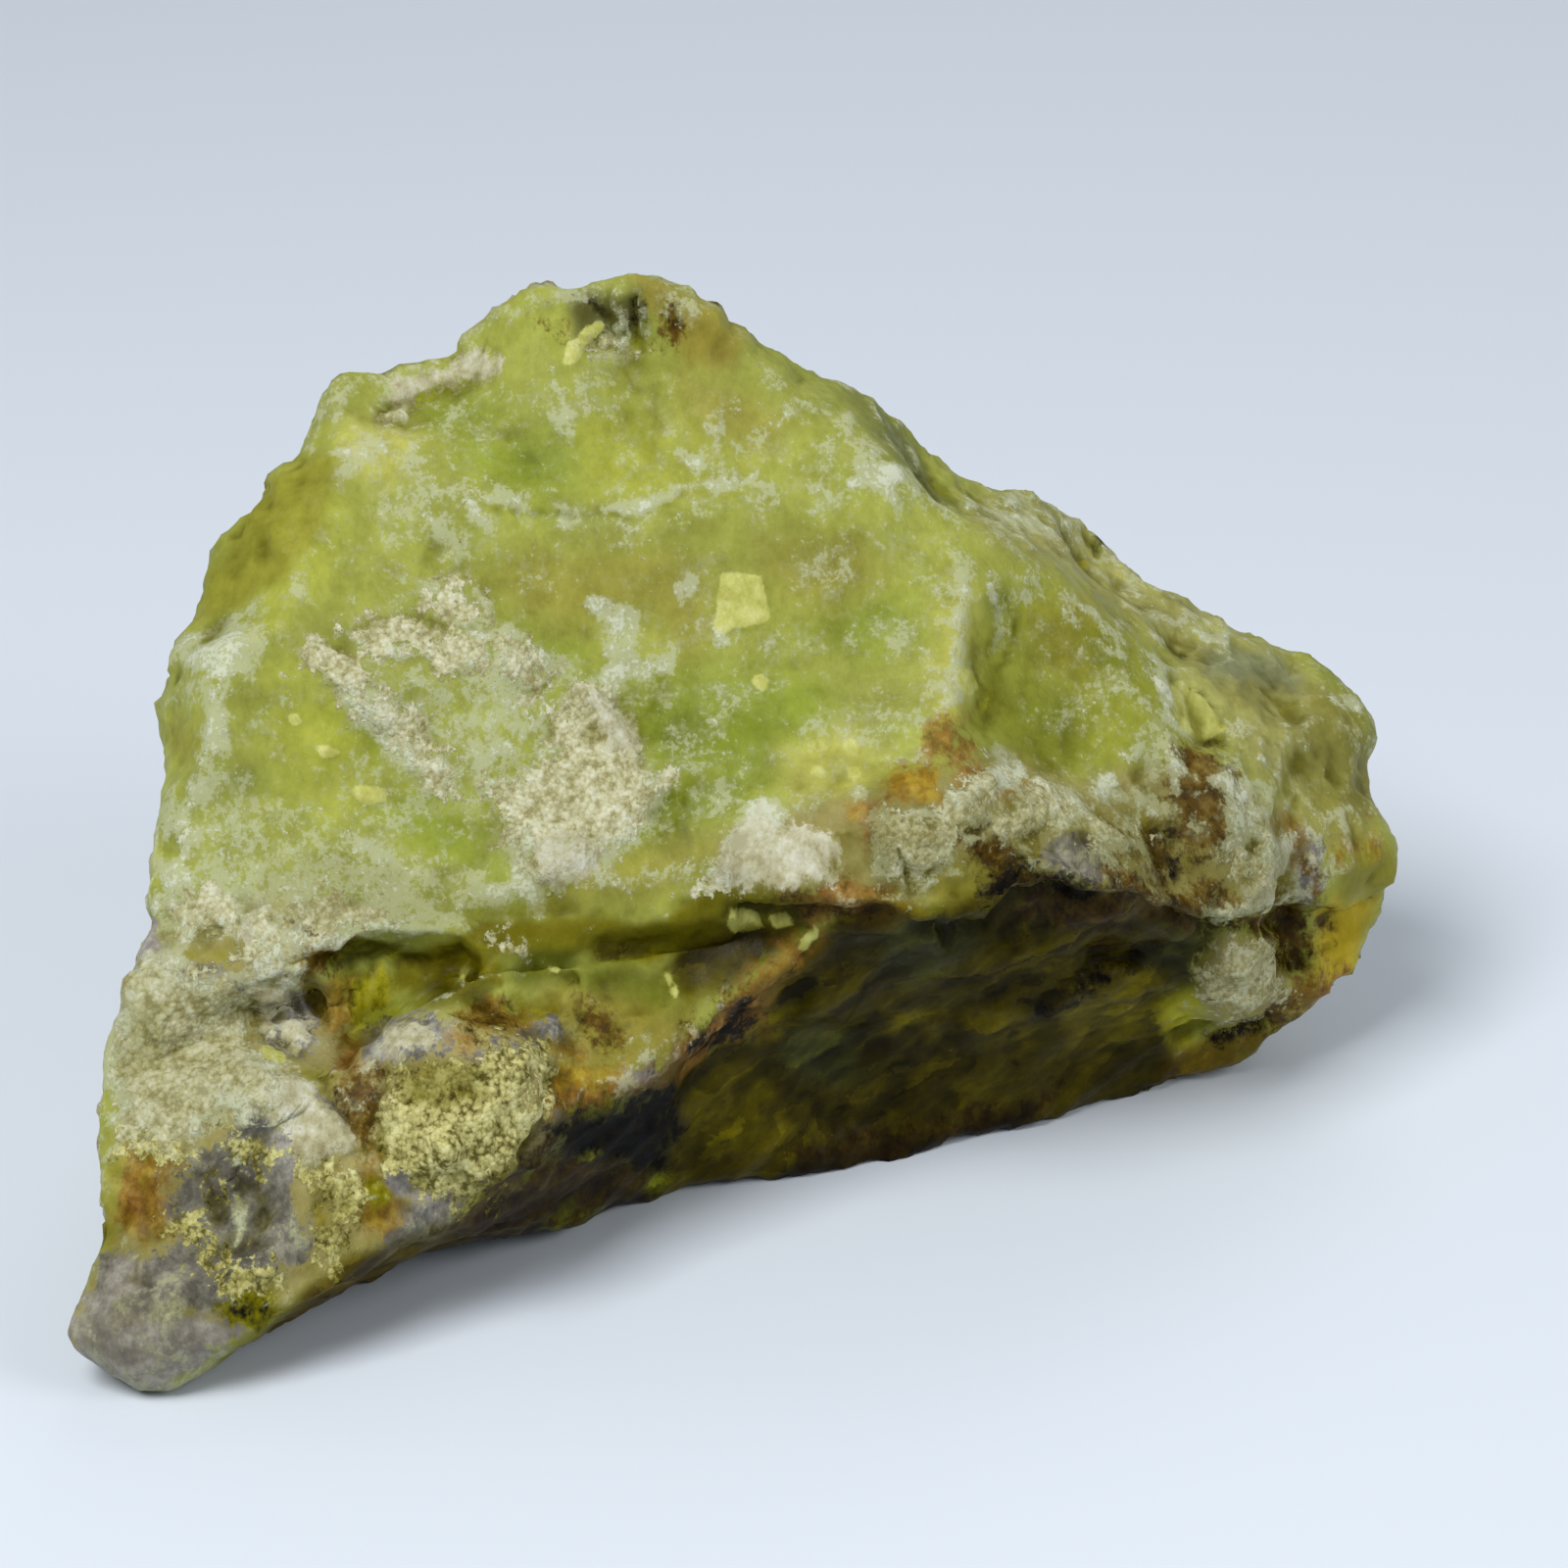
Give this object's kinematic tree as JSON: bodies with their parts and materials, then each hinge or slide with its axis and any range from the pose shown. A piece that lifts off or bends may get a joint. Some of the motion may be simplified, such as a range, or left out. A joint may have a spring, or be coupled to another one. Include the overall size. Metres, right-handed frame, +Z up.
{
  "type": "rough green opal",
  "caption": "Rough piece of natural green opal with a broad broken face, a crusted overhanging lip and a tapering tail, lying on its flat side.",
  "frame": {"origin": "on the ground under the middle of the stone's box", "axes": "+Z up, +X along the stone's longest way towards its blunt end, -Y towards the broad pale green front face"},
  "size_m": [0.103, 0.0766, 0.0697],
  "materials": {
    "opal": "waxy broken opal, yellow-green and slightly translucent, with sandy beige crusts, white dust and brown iron stain"
  },
  "bodies": {
    "root": {"opal_stone": "opal"}
  },
  "joints": []
}
